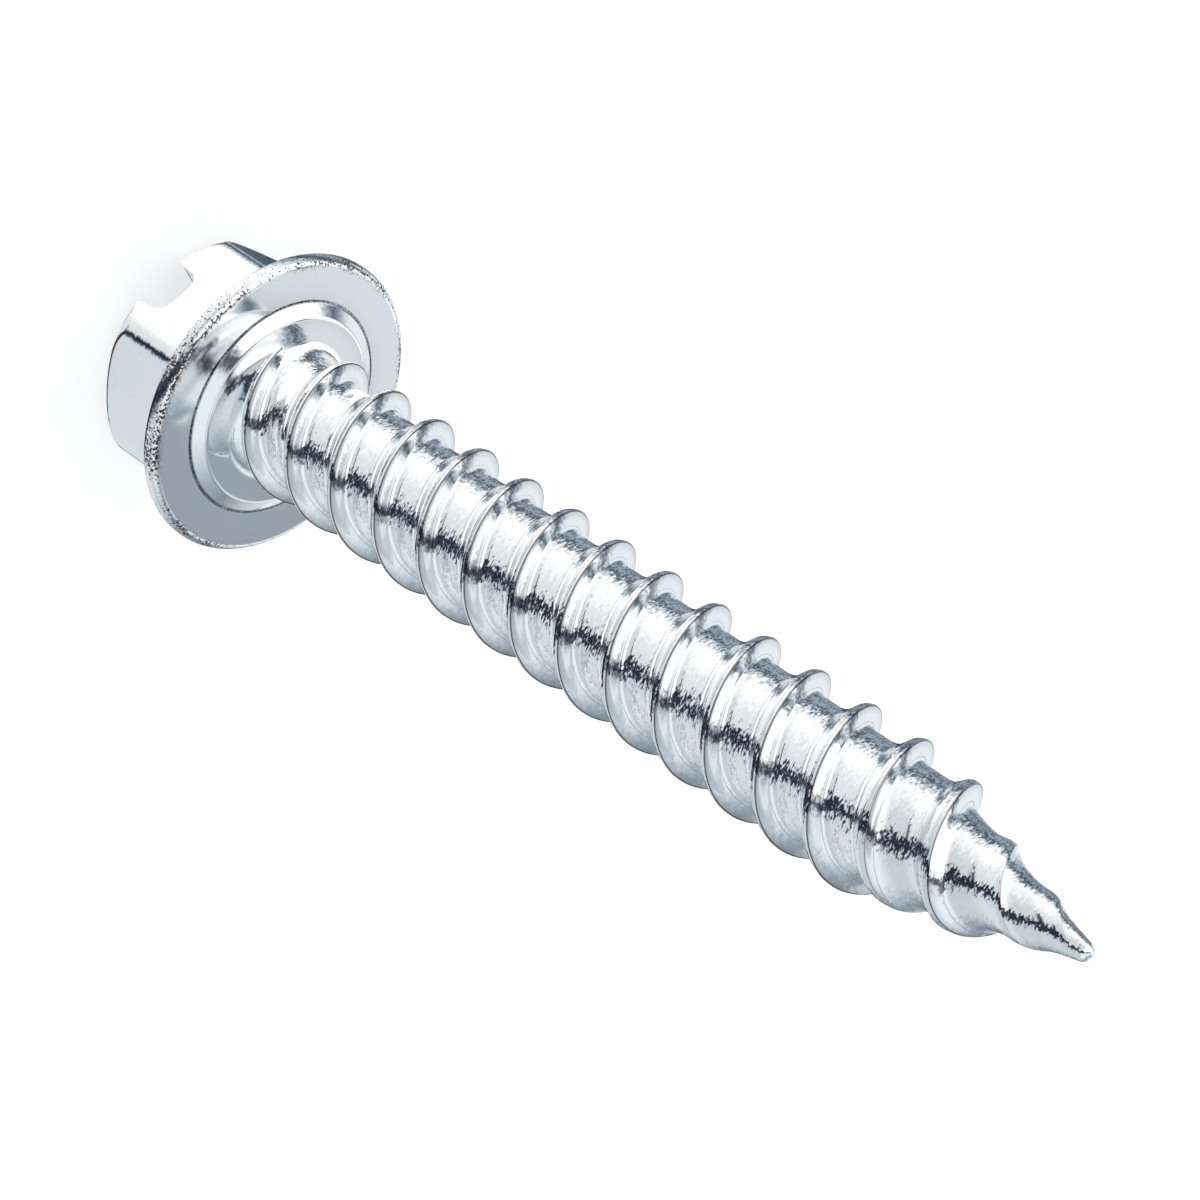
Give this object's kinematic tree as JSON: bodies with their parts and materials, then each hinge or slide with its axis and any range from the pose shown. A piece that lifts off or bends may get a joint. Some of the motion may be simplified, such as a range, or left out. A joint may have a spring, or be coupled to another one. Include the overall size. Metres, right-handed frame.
{
  "type": "hex head screw",
  "caption": "Bright zinc-plated tapping screw with a slotted hex washer head, a coarse sharp thread along the whole shank and a tapered point.",
  "frame": {"origin": "on the surface the screw stands on, in the middle of the flat top of its head", "axes": "+Z along the screw's axis, from the head up to the tip; +X out of the middle of a hex flat"},
  "size_m": [0.0113, 0.0112, 0.043],
  "materials": {
    "zinc_plate": "bright zinc plate on cold-formed carbon steel"
  },
  "bodies": {
    "root": {"screw": "zinc_plate"}
  },
  "joints": []
}
